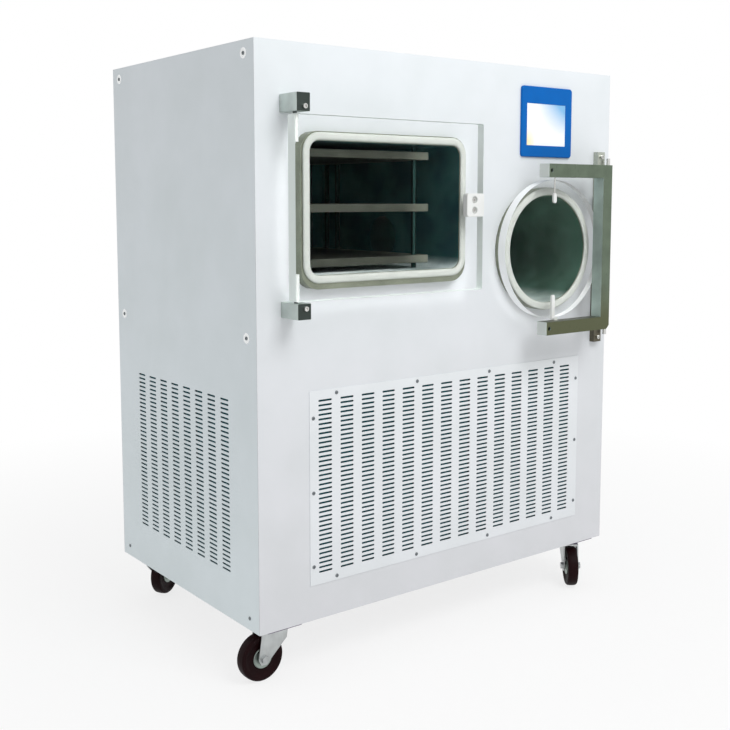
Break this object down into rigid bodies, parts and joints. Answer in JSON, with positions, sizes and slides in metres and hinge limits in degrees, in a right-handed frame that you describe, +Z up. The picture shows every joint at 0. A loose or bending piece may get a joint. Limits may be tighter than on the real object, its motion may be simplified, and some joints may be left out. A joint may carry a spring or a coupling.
{
  "type": "freeze dryer",
  "caption": "Shelf freeze dryer on casters: a shelf chamber behind a clear hinged door, a round cold trap with a clear disc on a swinging yoke, a touch screen and a slotted grille.",
  "frame": {"origin": "on the floor, under the middle of the overall outline", "axes": "+Z up, front of the cabinet towards -Y, its left side towards -X"},
  "size_m": [1.085, 0.768, 1.308],
  "materials": {
    "cabinet_paint": "satin powder coat, off-white",
    "frame_paint": "grey paint",
    "vessel_steel": "brushed stainless",
    "shelf_aluminium": "satin anodised",
    "yoke_steel": "brushed stainless",
    "bright_steel": "polished",
    "silicone": "cream, satin",
    "acrylic": "clear, polished",
    "white_nylon": "natural white",
    "bezel_blue": "blue film",
    "screen": "white, unlit",
    "plant_black": "black stove enamel",
    "plant_metal": "mill finish",
    "caster_steel": "zinc plated",
    "tyre": "dark maroon, matt",
    "black_plastic": "black moulding"
  },
  "bodies": {
    "cabinet": {"frame": "frame_paint", "base_plate": "frame_paint", "front_panel": "cabinet_paint", "left_panel": "cabinet_paint", "right_panel": "cabinet_paint", "top_panel": "cabinet_paint", "rear_panel": "cabinet_paint", "front_grille": "cabinet_paint", "grille_screws": "bright_steel", "panel_screws": "bright_steel", "cup_washers": "white_nylon", "chamber": "vessel_steel", "chamber_gasket": "silicone", "shelf_top": "shelf_aluminium", "shelf_middle": "shelf_aluminium", "shelf_bottom": "shelf_aluminium", "shelf_spacers": "bright_steel", "oil_manifolds": "vessel_steel", "door_hinge_blocks": "yoke_steel", "door_pins": "bright_steel", "cap_screws": "bright_steel", "trap_vessel": "vessel_steel", "trap_gasket": "silicone", "vapour_duct": "vessel_steel", "vacuum_port": "vessel_steel", "yoke_hinge_bar": "yoke_steel", "yoke_pivot_pin": "bright_steel", "screen_bezel": "bezel_blue", "screen_glass": "screen", "control_box": "frame_paint", "compressor_left": "plant_black", "compressor_right": "plant_black", "condenser": "plant_metal", "fan_shroud": "plant_black", "fan_motor": "plant_black", "oil_tank": "plant_metal", "oil_pump": "plant_black", "cable_gland": "black_plastic", "caster_plates": "caster_steel"},
    "door": {"chamber_door": "acrylic", "door_bushes": "white_nylon", "door_handle": "white_nylon", "handle_screws": "bright_steel"},
    "trap_door": {"yoke": "yoke_steel", "yoke_end_caps": "white_nylon", "yoke_fingers": "white_nylon", "trap_disc": "acrylic"},
    "fan": {"fan_rotor": "plant_metal"},
    "caster_front_left_swivel": {"caster_front_left_fork": "caster_steel"},
    "caster_front_left_wheel": {"caster_front_left_hub": "caster_steel", "caster_front_left_tyre": "tyre"},
    "caster_front_right_swivel": {"caster_front_right_fork": "caster_steel"},
    "caster_front_right_wheel": {"caster_front_right_hub": "caster_steel", "caster_front_right_tyre": "tyre"},
    "caster_rear_left_swivel": {"caster_rear_left_fork": "caster_steel"},
    "caster_rear_left_wheel": {"caster_rear_left_hub": "caster_steel", "caster_rear_left_tyre": "tyre"},
    "caster_rear_right_swivel": {"caster_rear_right_fork": "caster_steel"},
    "caster_rear_right_wheel": {"caster_rear_right_hub": "caster_steel", "caster_rear_right_tyre": "tyre"}
  },
  "joints": [
    {"name": "chamber_door_hinge", "type": "hinge", "parent": "cabinet", "child": "door", "pos_m": [-0.4575, -0.3435, 0.9815], "axis": [0, 0, -1], "range_deg": [0, 160]},
    {"name": "trap_yoke_hinge", "type": "hinge", "parent": "cabinet", "child": "trap_door", "pos_m": [0.4935, -0.325, 0.881], "axis": [0, 0, 1], "range_deg": [0, 150]},
    {"name": "fan_spin", "type": "hinge", "parent": "cabinet", "child": "fan", "pos_m": [-0.1575, -0.141, 0.388], "axis": [0, 1, 0], "continuous": true},
    {"name": "caster_front_left_swivel_spin", "type": "hinge", "parent": "cabinet", "child": "caster_front_left_swivel", "pos_m": [-0.4575, -0.251, 0.108], "axis": [0, 0, 1], "continuous": true},
    {"name": "caster_front_left_wheel_spin", "type": "hinge", "parent": "caster_front_left_swivel", "child": "caster_front_left_wheel", "pos_m": [-0.4925, -0.251, 0.05], "axis": [0, -1, 0], "continuous": true},
    {"name": "caster_front_right_swivel_spin", "type": "hinge", "parent": "cabinet", "child": "caster_front_right_swivel", "pos_m": [0.4575, -0.251, 0.108], "axis": [0, 0, 1], "continuous": true},
    {"name": "caster_front_right_wheel_spin", "type": "hinge", "parent": "caster_front_right_swivel", "child": "caster_front_right_wheel", "pos_m": [0.43595, -0.27858, 0.05], "axis": [0.788, -0.6157, 0], "continuous": true},
    {"name": "caster_rear_left_swivel_spin", "type": "hinge", "parent": "cabinet", "child": "caster_rear_left_swivel", "pos_m": [-0.4575, 0.294, 0.108], "axis": [0, 0, 1], "continuous": true},
    {"name": "caster_rear_left_wheel_spin", "type": "hinge", "parent": "caster_rear_left_swivel", "child": "caster_rear_left_wheel", "pos_m": [-0.42815, 0.31306, 0.05], "axis": [-0.5446, 0.8387, 0], "continuous": true},
    {"name": "caster_rear_right_swivel_spin", "type": "hinge", "parent": "cabinet", "child": "caster_rear_right_swivel", "pos_m": [0.4575, 0.294, 0.108], "axis": [0, 0, 1], "continuous": true},
    {"name": "caster_rear_right_wheel_spin", "type": "hinge", "parent": "caster_rear_right_swivel", "child": "caster_rear_right_wheel", "pos_m": [0.4925, 0.294, 0.05], "axis": [0, 1, 0], "continuous": true}
  ]
}
